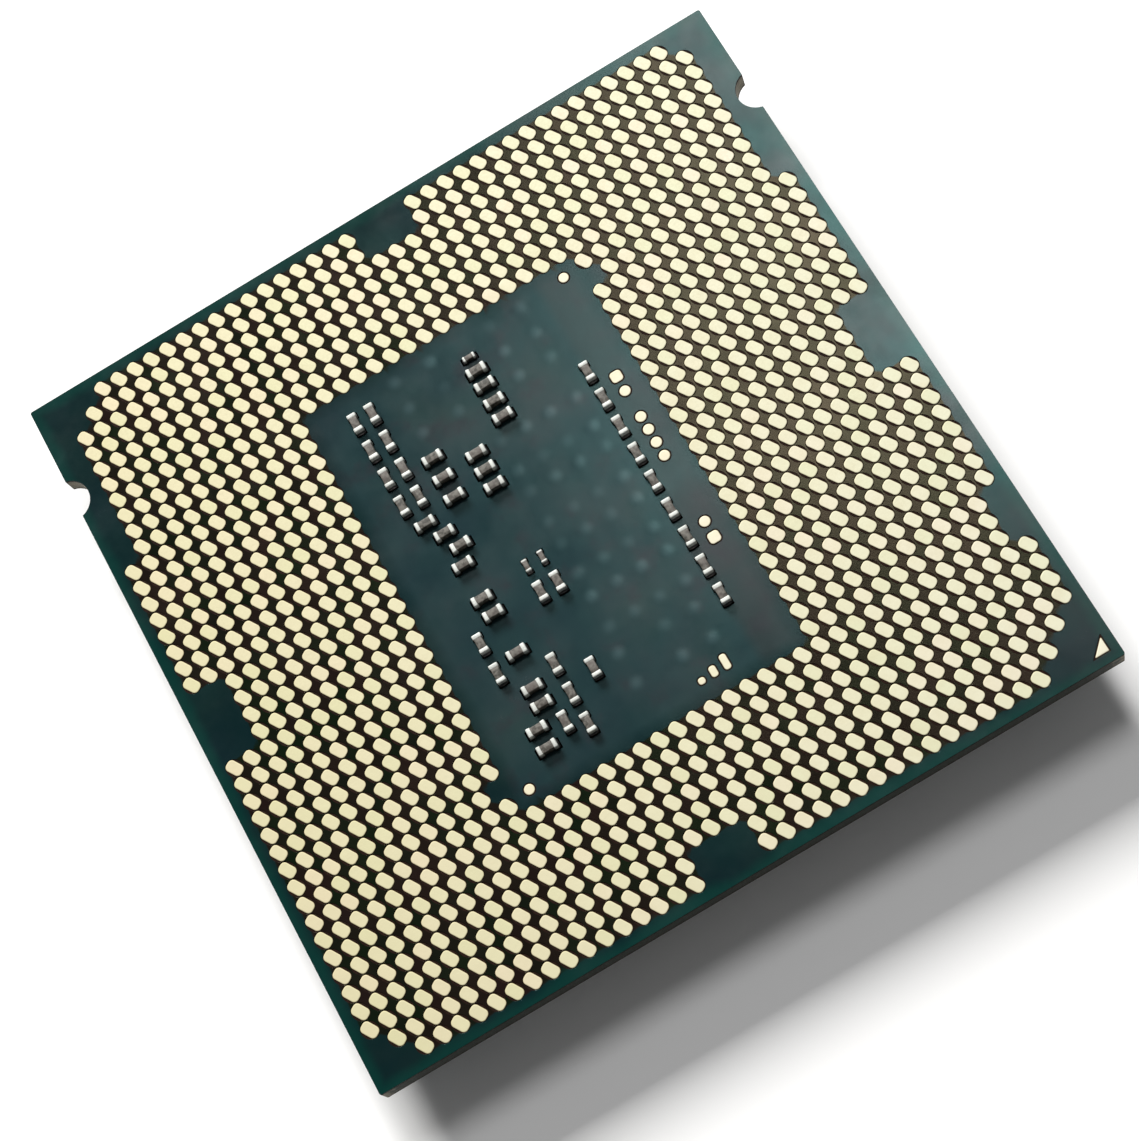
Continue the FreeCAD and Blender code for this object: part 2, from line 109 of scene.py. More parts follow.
# ---- capacitors: shares of the whole capacitor's length, width and height -------------------
BODY_SHARES = (0.86, 0.82, 0.93)
BODY_EDGE_R = 0.035 * MM
END_CAP_SHARE = 0.24                 # of the length
END_CAP_SPREAD = 0.015
END_CAP_EDGE_R = 0.06 * MM
END_CAP_TAPER = 0.05
FILLET_SHARE = 0.45                  # of the height
FILLET_REACH = 0.06 * MM
FILLET_OVERLAP = 0.01 * MM

# ---- heat spreader --------------------------------------------------------------------------
PLATEAU = (27.5 * MM, 31.0 * MM)
PLATEAU_CORNER_R = 1.6 * MM
PLATEAU_EDGE_R = 0.3 * MM
FLANGE = (29.6 * MM, 32.4 * MM)
FLANGE_CORNER_R = 2.0 * MM
FLANGE_T = 1.5 * MM
FLANGE_EDGE_R = 0.2 * MM
EARS = (33.0 * MM, 21.5 * MM)
EAR_CORNER_R = 1.2 * MM
EAR_INNER_R = 0.4 * MM
FOOT_EDGE_R = 0.08 * MM
STEP_FILLET = 0.25 * MM
CAVITY = (22.0 * MM, 26.0 * MM)
CAVITY_CORNER_R = 3.0 * MM
CAVITY_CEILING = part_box("thermal_paste")[0].z


# ==== mesh building ==========================================================================
class Shell:
    """Collects points and faces of closed shells built from stacked outlines."""

    def __init__(self):
        self.points = []
        self.faces = []
        self.flat = set()

    def loop(self, outline, z):
        start = len(self.points)
        self.points += [(x, y, z) for x, y in outline]
        return list(range(start, len(self.points)))

    def wall(self, lower, upper):
        count = len(lower)
        for i in range(count):
            j = (i + 1) % count
            self.faces.append((lower[i], lower[j], upper[j], upper[i]))

    def cap(self, indices):
        self.flat.add(len(self.faces))
        self.faces.append(tuple(indices))

    def sheet(self, loops, free=()):
        """Triangles inside the outer loop and outside the loops within it."""
        order = [i for one in loops for i in one] + list(free)
        place = {index: n for n, index in enumerate(order)}
        flat = [Vector(self.points[i][:2]) / MM for i in order]
        rims = [(one[i - 1], one[i]) for one in loops for i in range(len(one))]
        made = delaunay_2d_cdt(flat, [(place[i], place[j]) for i, j in rims], [], 0, 1e-7, True)
        corners = [order[found[0]] for found in made[3]]
        triangles = [tuple(corners[v] for v in face) for face in made[2]]
        kept = self.enclosed(triangles, {frozenset(rim) for rim in rims})
        self.flat.update(range(len(self.faces), len(self.faces) + len(kept)))
        self.faces += kept

    @staticmethod
    def enclosed(triangles, rims):
        """Keeps the triangles that an odd number of rims parts from the outside."""
        users = {}
        for number, triangle in enumerate(triangles):
            for i in range(3):
                users.setdefault(frozenset((triangle[i - 1], triangle[i])), []).append(number)
        inside = {}
        for side, found in users.items():
            if len(found) == 1 and found[0] not in inside:
                inside[found[0]] = side in rims
        waiting = list(inside)
        for number in waiting:
            triangle = triangles[number]
            for i in range(3):
                side = frozenset((triangle[i - 1], triangle[i]))
                for other in users[side]:
                    if other not in inside:
                        inside[other] = inside[number] != (side in rims)
                        waiting.append(other)
        return [triangle for number, triangle in enumerate(triangles) if inside[number]]

    def stack(self, outlines):
        """Closed shell through (outline, z) pairs, capped at both ends."""
        loops = [self.loop(outline, z) for outline, z in outlines]
        for lower, upper in zip(loops, loops[1:]):
            self.wall(lower, upper)
        self.cap(reversed(loops[0]))
        self.cap(loops[-1])

    def add(self, points, faces):
        start = len(self.points)
        self.points += [tuple(p) for p in points]
        self.faces += [tuple(i + start for i in face) for face in faces]


def make_piece(name, shell, material, replaces=()):
    """Turns a shell into a smooth-shaded piece whose flat sheets end in crisp edges."""
    mesh = bpy.data.meshes.new(name)
    mesh.from_pydata(shell.points, [], shell.faces)
    bm = bmesh.new()
    bm.from_mesh(mesh)
    bmesh.ops.recalc_face_normals(bm, faces=bm.faces)
    for face in bm.faces:
        face.smooth = True
    for edge in bm.edges:
        kinds = {face.index in shell.flat for face in edge.link_faces}
        edge.smooth = len(kinds) == 1
    bm.to_mesh(mesh)
    bm.free()
    mesh.materials.append(material)
    piece = bpy.data.objects.new(name, mesh)
    bpy.context.scene.collection.objects.link(piece)
    normals = piece.modifiers.new("weighted_normals", "WEIGHTED_NORMAL")
    normals.keep_sharp = True
    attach(piece, "root")
    if replaces:
        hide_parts(*replaces)
    return piece


def solids_in(node):
    """Low corner, high corner and reach from the middle of each solid in a CAD node."""
    bm = bmesh.new()
    bm.from_mesh(frame["nodes"][node].data)
    bmesh.ops.remove_doubles(bm, verts=bm.verts, dist=1e-8)
    for vert in bm.verts:
        vert.tag = False
    solids = []
    for seed in bm.verts:
        if seed.tag:
            continue
        seed.tag = True
        group = [seed]
        for vert in group:
            for edge in vert.link_edges:
                other = edge.other_vert(vert)
                if not other.tag:
                    other.tag = True
                    group.append(other)
        low = Vector(min(v.co[i] for v in group) for i in range(3))
        high = Vector(max(v.co[i] for v in group) for i in range(3))
        reach = max((v.co.xy - ((low + high) / 2).xy).length for v in group)
        solids.append((low, high, reach))
    bm.free()
    return solids


# ==== outlines ===============================================================================
def rounded_rectangle(size, radius, centre=(0.0, 0.0), turn=0.0, steps=6):
    reach_x = size[0] / 2 - radius
    reach_y = size[1] / 2 - radius
    points = []
    for quarter, (side_x, side_y) in enumerate(((1, 1), (-1, 1), (-1, -1), (1, -1))):
        for step in range(steps):
            angle = math.radians(90.0 * (quarter + step / (steps - 1)))
            x = side_x * reach_x + radius * math.cos(angle)
            y = side_y * reach_y + radius * math.sin(angle)
            points.append((centre[0] + x * math.cos(turn) - y * math.sin(turn),
                           centre[1] + x * math.sin(turn) + y * math.cos(turn)))
    return points


def oval(length, width, centre, turn=0.0, steps=28):
    points = []
    for step in range(steps):
        angle = 2 * math.pi * step / steps
        x = length / 2 * math.cos(angle)
        y = width / 2 * math.sin(angle)
        points.append((centre[0] + x * math.cos(turn) - y * math.sin(turn),
                       centre[1] + x * math.sin(turn) + y * math.cos(turn)))
    return points


def package_outline(inset):
    """Square outline with slightly rounded corners and a round notch in both X edges."""
    half = HALF - inset
    radius = PACKAGE_CORNER_R
    notch_r = NOTCH_R + inset
    centre_x = HALF + NOTCH_OUTSET
    opening = math.acos((centre_x - half) / notch_r)
    points = []
    for quarter, (side_x, side_y) in enumerate(((1, 1), (-1, 1), (-1, -1), (1, -1))):
        if quarter == 2:
            for step in range(17):
                angle = opening * (1 - step / 8)
                points.append((-centre_x + notch_r * math.cos(angle),
                               NOTCH_Y + notch_r * math.sin(angle)))
        for step in range(5):
            angle = math.radians(90.0 * (quarter + step / 4))
            points.append((side_x * (half - radius) + radius * math.cos(angle),
                           side_y * (half - radius) + radius * math.sin(angle)))
    for step in range(17):
        angle = math.pi + opening * (1 - step / 8)
        points.append((centre_x + notch_r * math.cos(angle), NOTCH_Y + notch_r * math.sin(angle)))
    return points


def lid_outline(inset, steps=7):
    """Outline of the flange with its two ears, each corner rounded."""
    ear_x, ear_y = EARS[0] / 2, EARS[1] / 2
    flange_x, flange_y = FLANGE[0] / 2, FLANGE[1] / 2
    quarter = (
        (ear_x, ear_y, EAR_CORNER_R, 0, 1),
        (flange_x, ear_y, EAR_INNER_R, 270, -1),
        (flange_x, flange_y, FLANGE_CORNER_R, 0, 1),
    )
    first = []
    for x, y, radius, start, way in quarter:
        grown = radius - way * inset
        centre_x = x - radius if way > 0 else x + radius
        centre_y = y - radius if way > 0 else y + radius
        for step in range(steps):
            angle = math.radians(start + way * 90.0 * step / (steps - 1))
            first.append((centre_x + grown * math.cos(angle), centre_y + grown * math.sin(angle)))
    points = list(first)
    points += [(-x, y) for x, y in reversed(first)]
    points += [(-x, -y) for x, y in first]
    points += [(x, -y) for x, y in reversed(first)]
    return points


def rounded_profile(radius, z_edge, upward, steps=4, depth=None):
    """(inset, z) pairs round an edge: from the side wall in to the flat face."""
    pairs = []
    for step in range(steps + 1):
        angle = math.radians(90.0 * step / steps)
        inset = radius * (1 - math.cos(angle))
        drop = (depth or radius) * (1 - math.sin(angle))
        pairs.append((inset, z_edge - drop if upward else z_edge + drop))
    return pairs


# ==== materials ==============================================================================
class Nodes:
    """Short names for building a node tree round one Principled shader."""

    def __init__(self, name):
        self.material = bpy.data.materials.new(name)
        self.material.use_nodes = True
        self.tree = self.material.node_tree
        self.shader = self.tree.nodes["Principled BSDF"]
        self.place = self.node("ShaderNodeTexCoord").outputs["Object"]

    def node(self, kind, **inputs):
        made = self.tree.nodes.new(kind)
        for key, value in inputs.items():
            made.inputs[key.replace("_", " ")].default_value = value
        return made

    def join(self, source, target):
        self.tree.links.new(source, target)

    def surface(self, **inputs):
        """Sets plain values on the shader's own sockets."""
        for key, value in inputs.items():
            self.shader.inputs[key.replace("_", " ")].default_value = value

    def noise(self, scale_per_mm, detail=3.0, roughness=0.55, stretch=None):
        place = self.place
        if stretch:
            mapping = self.node("ShaderNodeMapping")
            mapping.inputs["Scale"].default_value = stretch
            self.join(place, mapping.inputs["Vector"])
            place = mapping.outputs["Vector"]
        noise = self.node("ShaderNodeTexNoise", Scale=scale_per_mm / MM, Detail=detail,
                          Roughness=roughness)
        self.join(place, noise.inputs["Vector"])
        return noise.outputs["Fac"]

    def feed(self, sockets, values):
        """Joins each value that is a socket, and sets each that is a number or a colour."""
        for socket, value in zip(sockets, values):
            if hasattr(value, "is_output"):
                self.join(value, socket)
            elif isinstance(value, tuple) and socket.type == "RGBA":
                socket.default_value = (*value, 1.0)
            else:
                socket.default_value = value

    def vector(self, operation, *values):
        made = self.node("ShaderNodeVectorMath")
        made.operation = operation
        self.feed(made.inputs, values)
        return made.outputs["Vector"]

    def math(self, operation, *values):
        made = self.node("ShaderNodeMath")
        made.operation = operation
        self.feed(made.inputs, values)
        return made.outputs["Value"]

    def axis(self, name):
        made = self.node("ShaderNodeSeparateXYZ")
        self.join(self.place, made.inputs["Vector"])
        return made.outputs[name]

    def remap(self, value, from_low, from_high, to_low=0.0, to_high=1.0, smooth=False):
        made = self.node("ShaderNodeMapRange")
        made.interpolation_type = "SMOOTHSTEP" if smooth else "LINEAR"
        self.join(value, made.inputs["Value"])
        for key, number in (("From Min", from_low), ("From Max", from_high),
                            ("To Min", to_low), ("To Max", to_high)):
            made.inputs[key].default_value = number
        return made.outputs["Result"]

    def ramp(self, value, stops):
        made = self.node("ShaderNodeValToRGB")
        self.join(value, made.inputs["Fac"])
        elements = made.color_ramp.elements
        while len(elements) < len(stops):
            elements.new(0.5)
        for element, (position, colour) in zip(elements, stops):
            element.position = position
            element.color = (*colour, 1.0)
        return made.outputs["Color"]

    def mix(self, factor, first, second, blend="MIX"):
        made = self.node("ShaderNodeMix")
        made.data_type = "RGBA"
        made.blend_type = blend
        self.feed([s for s in made.inputs if s.enabled], (factor, first, second))
        return next(s for s in made.outputs if s.enabled)

    def bump(self, height, depth_mm):
        made = self.node("ShaderNodeBump", Strength=1.0, Distance=depth_mm * MM)
        self.join(height, made.inputs["Height"])
        previous = self.shader.inputs["Normal"].links
        if previous:
            self.join(previous[0].from_socket, made.inputs["Normal"])
        self.join(made.outputs["Normal"], self.shader.inputs["Normal"])

    def colour(self, socket):
        self.join(socket, self.shader.inputs["Base Color"])

    def rough(self, value, low, high):
        self.join(self.remap(value, 0.3, 0.7, low, high), self.shader.inputs["Roughness"])

    def grid_cell(self, shift):
        """Whole-number coordinates of the land-grid cell, shifted by a share of the pitch."""
        step = (1 / GRID_PITCH, 1 / GRID_PITCH, 0.0)
        scaled = self.vector("MULTIPLY", self.place, step)
        moved = self.vector("ADD", scaled, (shift, shift, 0.0))
        return self.vector("FLOOR", moved)

    def cell_noise(self, shift):
        made = self.node("ShaderNodeTexWhiteNoise")
        made.noise_dimensions = "3D"
        self.join(self.grid_cell(shift), made.inputs["Vector"])
        return made.outputs["Value"]


def plated_gold(name, z_top, tones):
    """Pale satin plating: no two pads alike; painted sheen, warmer to -X; painted shade, yellow
    shoulders, brown walls.
    """
    n = Nodes(name)
    middle = (Z_LOWER_MASK + Z_MASK_TOP) / 2
    top = z_top - middle
    height = n.math("ABSOLUTE", n.math("SUBTRACT", n.axis("Z"), middle))
    tone = n.ramp(n.cell_noise(0.0), tuple(zip((0.0, 0.3, 0.8, 1.0), tones)))
    smudge = n.noise(1.3, detail=4.0)
    # painted sheen: the plating runs warmer towards -X and paler, bluer towards +X, where the
    # lamps' sheen falls
    sheen_drift_painted = n.mix(n.remap(n.axis("X"), -HALF, HALF), (0.95, 0.91, 0.82), (1.03, 1.05, 1.14))
    tone = n.mix(1.0, tone, sheen_drift_painted, "MULTIPLY")
    worn = n.mix(n.remap(smudge, 0.35, 0.7, 0.0, 0.3), tone, (0.54, 0.49, 0.32))
    # painted shade: each pad's rounded shoulder turns yellow-brown and its side wall near-black
    # brown, as shade at the edge
    face = n.remap(height, top - SHOULDER_DEPTH, top - 0.1 * SHOULDER_DEPTH)
    shoulder_painted_shade = n.mix(face, (0.36, 0.27, 0.10), worn)
    wall = n.remap(height, top - 1.3 * SHOULDER_DEPTH, top - 0.8 * SHOULDER_DEPTH)
    n.colour(n.mix(wall, (0.03, 0.009, 0.003), shoulder_painted_shade))
    n.surface(Metallic=0.15, Specular_IOR_Level=0.3)
    n.rough(n.noise(9.0, detail=2.0), 0.55, 0.68)
    n.bump(n.noise(30.0, detail=2.0), 0.0012)
    n.bump(n.noise(3.0, detail=2.0), 0.004)
    return n.material


def solder_mask():
    """Blue-green lacquer: mottled, darker between lands, paler on domes, green at the rim."""
    n = Nodes("solder_mask_lacquer")
    x = n.math("ABSOLUTE", n.axis("X"))
    y = n.math("ABSOLUTE", n.axis("Y"))
    edge = n.math("SUBTRACT", HALF, n.math("MAXIMUM", x, y))
    outside_middle = n.math("MAXIMUM", n.math("SUBTRACT", x, MIDDLE_HALF_X),
                            n.math("SUBTRACT", y, MIDDLE_HALF_Y))
    mottle = n.noise(0.22, detail=3.0)
    middle = n.ramp(mottle, ((0.3, (0.007, 0.019, 0.024)), (0.55, (0.009, 0.025, 0.028)),
                             (0.75, (0.011, 0.029, 0.029))))
    border = n.ramp(mottle, ((0.35, (0.001, 0.009, 0.012)), (0.65, (0.002, 0.013, 0.013))))
    beside_pads = n.remap(n.axis("X"), *TEST_PAD_STRIP, smooth=True)
    middle = n.mix(beside_pads, middle, (0.015, 0.019, 0.021))
    flux = n.remap(n.noise(0.5, detail=4.0), 0.56, 0.72, 0.0, 0.6)
    middle = n.mix(flux, middle, (0.016, 0.014, 0.020))
    body = n.mix(n.remap(outside_middle, -0.6 * MM, 0.1 * MM), middle, border)
    spots = n.ramp(n.cell_noise(0.5), (
        (0.0, (0.001, 0.006, 0.002)), (0.4, (0.003, 0.005, 0.003)),
        (0.6, (0.005, 0.004, 0.003)), (1.0, (0.009, 0.004, 0.004))))
    crowded = n.node("ShaderNodeAttribute")
    crowded.attribute_name = "between_lands"
    body = n.mix(crowded.outputs["Fac"], body, spots)
    dome = n.remap(n.axis("Z"), Z_MASK_TOP, Z_MASK_TOP + 0.8 * DOME_RISE, 0.0, 0.6)
    body = n.mix(dome, body, (0.040, 0.074, 0.080))
    wander = n.remap(n.noise(0.35, detail=3.0), 0.3, 0.7, -0.2 * MM, 0.2 * MM)
    rim = n.remap(n.math("ADD", edge, wander), 0.1 * MM, 0.75 * MM, 1.0, 0.0, smooth=True)
    n.colour(n.mix(rim, body, (0.001, 0.024, 0.020)))
    streaks = n.remap(n.noise(0.25, detail=4.0), 0.4, 0.65)
    sheen = n.mix(streaks, (0.54, 0.93, 0.90), (0.80, 0.90, 0.89))
    tint = n.mix(crowded.outputs["Fac"], sheen, (0.72, 0.62, 0.40))
    n.join(tint, n.shader.inputs["Specular Tint"])
    n.surface(Specular_IOR_Level=0.27)
    n.rough(n.noise(0.28, detail=6.0, roughness=0.65), 0.15, 0.28)
    n.bump(n.noise(12.0, detail=2.0), 0.0012)
    n.bump(n.noise(0.35, detail=3.0), 0.006)
    return n.material


def resin_film_painted_shade():
    n = Nodes("resin_film_painted_shade")
    # painted shade: the film is near-black brown so the narrow gaps round lands and marks read as
    # shaded trenches
    n.colour(n.ramp(n.noise(4.0), ((0.3, (0.008, 0.002, 0.001)), (0.7, (0.018, 0.006, 0.003)))))
    n.surface(Specular_IOR_Level=0.08)
    n.rough(n.noise(10.0), 0.6, 0.8)
    n.bump(n.noise(25.0), 0.003)
    return n.material


def sawn_laminate():
    """Glass-epoxy core: painted shade along the sawn edges, its lit tan painted in the notches and
    at the corners.
    """
    n = Nodes("sawn_laminate")
    height = n.remap(n.axis("Z"), Z_LOWER_FILM, Z_FILM_TOP)
    wobble = n.remap(n.noise(0.5), 0.3, 0.7, -0.03, 0.03)
    layers = n.math("FRACT", n.math("MULTIPLY", n.math("ADD", height, wobble), 7.0))
    # lit and shaded copies of the core's layered colour: the first ramp is its lit tan, the second
    # is painted shade
    lit_core_tone = n.ramp(layers, ((0.0, (0.15, 0.13, 0.09)), (0.5, (0.26, 0.23, 0.165)),
                           (1.0, (0.17, 0.145, 0.10))))
    shaded_core_tone = n.ramp(layers, ((0.0, (0.006, 0.012, 0.008)), (0.5, (0.024, 0.022, 0.013)),
                           (1.0, (0.008, 0.014, 0.010))))
    x = n.math("ABSOLUTE", n.axis("X"))
    y = n.math("ABSOLUTE", n.axis("Y"))
    # painted light: the lit tan goes in the notches and at the corners, painted shade on the rest
    # of the sawn edges
    notch = n.remap(n.math("MAXIMUM", x, y), HALF - 0.05 * MM, HALF - 0.02 * MM, 1.0, 0.0)
    ragged = n.remap(n.noise(2.5), 0.3, 0.7, -0.45 * MM, 0.25 * MM)
    corner = n.remap(n.math("ADD", n.math("MINIMUM", x, y), ragged),
                     HALF - 0.8 * MM, HALF - 0.2 * MM, smooth=True)
    bundles = n.remap(n.noise(3.0, detail=2.0, stretch=(1.0, 1.0, 5.0)), 0.4, 0.65, 0.0, 0.6)
    n.colour(n.mix(bundles, n.mix(n.math("MAXIMUM", notch, corner), shaded_core_tone, lit_core_tone),
                   (0.010, 0.020, 0.013)))
    n.surface(Specular_IOR_Level=0.25)
    n.rough(n.noise(14.0), 0.55, 0.75)
    n.bump(layers, 0.006)
    n.bump(n.noise(18.0, stretch=(1.0, 1.0, 0.3)), 0.012)
    return n.material


def bare_copper():
    n = Nodes("bare_copper")
    n.colour(n.ramp(n.noise(1.5), ((0.3, (0.70, 0.32, 0.18)), (0.7, (0.83, 0.45, 0.28)))))
    n.surface(Metallic=1.0)
    n.rough(n.noise(8.0), 0.3, 0.45)
    n.bump(n.noise(20.0), 0.002)
    return n.material


def tin_plating():
    """Matte tin on the capacitor ends, darkened low down as painted shade."""
    n = Nodes("tin_plating")
    grain = n.noise(14.0, detail=3.0)
    base = n.ramp(grain, ((0.3, (0.46, 0.48, 0.45)), (0.7, (0.68, 0.70, 0.66))))
    # painted shade: the terminals' lower sides fade to near black
    low = n.remap(n.axis("Z"), Z_MASK_TOP + 0.04 * MM, Z_MASK_TOP + 0.28 * MM)
    dull = n.mix(n.remap(n.noise(0.6), 0.40, 0.65, 0.0, 0.7), base, (0.42, 0.43, 0.40))
    n.colour(n.mix(low, (0.06, 0.06, 0.055), dull))
    n.surface(Metallic=0.15)
    n.rough(grain, 0.48, 0.66)
    n.bump(n.noise(22.0, detail=2.0), 0.008)
    return n.material


def solder_metal():
    n = Nodes("solder_metal")
    n.colour(n.ramp(n.noise(8.0), ((0.3, (0.11, 0.10, 0.10)), (0.7, (0.26, 0.25, 0.25)))))
    n.surface(Metallic=1.0)
    n.rough(n.noise(6.0), 0.35, 0.55)
    n.bump(n.noise(12.0), 0.004)
    return n.material


def fired_ceramic():
    """Grey-brown capacitor ceramic: coarse mottling, fine speckle, flanks darkened as painted
    shade.
    """
    n = Nodes("fired_ceramic")
    speckle = n.noise(6.0, detail=4.0)
    tone = n.ramp(n.noise(1.6), ((0.35, (0.036, 0.034, 0.026)), (0.65, (0.095, 0.080, 0.070))))
    mottled = n.mix(n.remap(speckle, 0.42, 0.60, 0.0, 0.9), tone, (0.150, 0.140, 0.122))
    # painted shade: the body's lower flanks go near black
    low = n.remap(n.axis("Z"), Z_MASK_TOP + 0.08 * MM, Z_MASK_TOP + 0.29 * MM)
    n.colour(n.mix(low, (0.010, 0.009, 0.007), mottled))
    n.surface(Specular_IOR_Level=0.3)
    n.rough(speckle, 0.45, 0.60)
    n.bump(speckle, 0.004)
    return n.material


def nickel_plate():
    """Satin nickel on the heat spreader: fine lapping lines, faint stains and handling marks."""
    n = Nodes("nickel_plate")
    stain = n.noise(0.12, detail=5.0)
    n.colour(n.ramp(stain, ((0.35, (0.60, 0.59, 0.56)), (0.55, (0.67, 0.66, 0.63)),
                            (0.75, (0.71, 0.69, 0.65)))))
    n.surface(Metallic=1.0, Anisotropic=0.3)
    lines = n.noise(1.0, detail=6.0, stretch=(0.4, 22.0, 1.0))
    n.rough(n.mix(0.5, stain, lines), 0.24, 0.42)
    n.bump(lines, 0.0025)
    n.bump(n.noise(0.3, detail=2.0), 0.02)
    return n.material


def silicone_bead():
    n = Nodes("silicone_bead")
    n.colour(n.ramp(n.noise(3.0), ((0.3, (0.010, 0.010, 0.011)), (0.7, (0.028, 0.027, 0.027)))))
    n.rough(n.noise(5.0), 0.35, 0.55)
    n.bump(n.noise(2.0), 0.02)
    return n.material


def lapped_silicon():
    n = Nodes("lapped_silicon")
    n.colour(n.ramp(n.noise(0.3), ((0.3, (0.10, 0.11, 0.13)), (0.7, (0.16, 0.17, 0.20)))))
    n.surface(Metallic=0.6)
    n.rough(n.noise(1.0, stretch=(12.0, 0.6, 1.0)), 0.12, 0.25)
    n.bump(n.noise(1.0, stretch=(25.0, 0.5, 1.0)), 0.001)
    return n.material


def metal_paste():
    n = Nodes("metal_paste")
    n.colour(n.ramp(n.noise(1.5), ((0.3, (0.30, 0.30, 0.30)), (0.7, (0.45, 0.45, 0.44)))))
    n.rough(n.noise(3.0), 0.5, 0.7)
    n.bump(n.noise(4.0), 0.02)
    return n.material


def underfill_resin():
    n = Nodes("underfill_resin")
    n.colour(n.ramp(n.noise(2.0), ((0.3, (0.020, 0.018, 0.016)), (0.7, (0.045, 0.040, 0.036)))))
    n.rough(n.noise(4.0), 0.2, 0.35)
    n.bump(n.noise(1.5), 0.015)
    return n.material


LAND_TONES = ((0.575, 0.57, 0.37), (0.60, 0.585, 0.40), (0.61, 0.58, 0.41), (0.63, 0.575, 0.42))
MARK_TONES = ((0.66, 0.63, 0.46), (0.68, 0.65, 0.48), (0.69, 0.65, 0.49), (0.70, 0.65, 0.50))

MATERIALS = {
    "laminate": sawn_laminate(),
    "copper": bare_copper(),
    "build_up_film": resin_film_painted_shade(),
    "solder_mask": solder_mask(),
    "land_gold": plated_gold("land_gold_plating", Z_LAND_TOP, LAND_TONES),
    "mark_gold": plated_gold("mark_gold_plating", Z_MASK_TOP + MARK_PROUD, MARK_TONES),
    "solder": solder_metal(),
    "terminal_tin": tin_plating(),
    "capacitor_ceramic": fired_ceramic(),
    "silicon": lapped_silicon(),
    "thermal_paste": metal_paste(),
    "underfill_epoxy": underfill_resin(),
    "nickel_plated_copper": nickel_plate(),
    "sealant": silicone_bead(),
}


def dress_cad_nodes():
    """Gives every CAD node the material of its slot in the record."""
    for row in frame["record"]["subparts"]:
        mesh = frame["nodes"][row["node"]].data
        mesh.materials.clear()
        mesh.materials.append(MATERIALS[row["material_slot"]])


# ==== pieces =================================================================================
def pad(shell, outline, z_foot, z_face):
    """Plated pad with rounded outer edges; outline(inset) is its plan, at any inset."""
    pairs = rounded_profile(SHOULDER_REACH, z_face, z_face > z_foot, 3, SHOULDER_DEPTH)
    shell.stack([(outline(0.0), z_foot)] + [(outline(inset), z) for inset, z in pairs])


def land_outline(x, y):
    def outline(inset):
        size = (LAND_LENGTH - 2 * inset, LAND_WIDTH - 2 * inset)
        return rounded_rectangle(size, LAND_CORNER_R - inset, (x, y), LAND_TURN)
    return outline


def plain_outline(low, high, reach):
    """Outline of a round or square pad, told apart by how far its corners reach."""
    centre = ((low.x + high.x) / 2, (low.y + high.y) / 2)
    size_x = high.x - low.x
    size_y = high.y - low.y
    is_round = (abs(size_x - size_y) < ROUND_SIDES_DIFFER
                and reach < ROUND_REACH_SHARE * size_x)

    def outline(inset):
        if is_round:
            return oval(size_x - 2 * inset, size_y - 2 * inset, centre)
        radius = min(MARK_CORNER_R, 0.4 * min(size_x, size_y))
        return rounded_rectangle((size_x - 2 * inset, size_y - 2 * inset), radius - inset, centre)
    return outline


def triangle_outline(low, high):
    """Right-angled triangle with its corner at +X -Y and slightly rounded points."""
    leg = high.x - low.x

    def outline(inset):
        side = inset + TRIANGLE_POINT_R
        slope = side * (1 + math.sqrt(2))
        corners = (
            (high.x - side, low.y + side, -90, 0),
            (high.x - side, low.y + leg - slope, 0, 135),
            (high.x - leg + slope, low.y + side, 135, 270),
        )
        points = []
        for x, y, start, end in corners:
            for step in range(5):
                angle = math.radians(start + (end - start) * step / 4)
                points.append((x + TRIANGLE_POINT_R * math.cos(angle),
                               y + TRIANGLE_POINT_R * math.sin(angle)))
        return points
    return outline


def make_lands():
    """Four sectors of lands, returning the middles of all lands for the mask's openings."""
    middles = []
    for sector in ("north", "south", "east", "west"):
        shell = Shell()
        node = "lands_" + sector
        for low, high, _ in solids_in(node):
            middle = (low + high) / 2
            middles.append((middle.x, middle.y))
            pad(shell, land_outline(middle.x, middle.y), Z_FILM_TOP, Z_LAND_TOP)
        make_piece("land_contacts_" + sector, shell, MATERIALS["land_gold"], [node])
    return middles


def make_marks():
    """Plated marks on both faces. Returns the openings that they need in the two masks."""
    upper, lower = [], []
    for node in ("test_pads", "fiducial_dots", "index_bars", "pin_one_triangle",
                 "lid_side_pads", "lid_side_triangle"):
        shell = Shell()
        for low, high, reach in solids_in(node):
            if node.endswith("triangle"):
                outline = triangle_outline(low, high)
            else:
                outline = plain_outline(low, high, reach)
            is_upper = low.z > Z_LOWER_FILM
            if is_upper:
                pad(shell, outline, Z_FILM_TOP, Z_MASK_TOP + MARK_PROUD)
            else:
                pad(shell, outline, Z_LOWER_FILM, Z_LOWER_MASK - MARK_PROUD)

            def opening(grow, around=outline):
                return around(grow - MARK_GAP)
            (upper if is_upper else lower).append(opening)
        make_piece("plated_" + node, shell, MATERIALS["mark_gold"], [node])
    return upper, lower


def mark_between_lands(mesh, middles):
    """Point attribute for the mask's material: 1 where at least two lands are close by."""
    tree = KDTree(len(middles))
    for number, (x, y) in enumerate(middles):
        tree.insert((x, y, Z_MASK_TOP), number)
    tree.balance()
    seconds = [tree.find_n(vertex.co, 2)[1][2] for vertex in mesh.vertices]
    attribute = mesh.attributes.new("between_lands", "FLOAT", "POINT")
    attribute.data.foreach_set("value", [float(gap < CROWDED_REACH) for gap in seconds])


def dome_places():
    fields = ((DOME_COLUMNS, DOME_ROWS), (LOWER_DOME_COLUMNS, LOWER_DOME_ROWS),
              (UPPER_DOME_COLUMNS, UPPER_DOME_ROWS))
    return [(x * MM, y * MM) for columns, rows in fields for x in columns for y in rows]


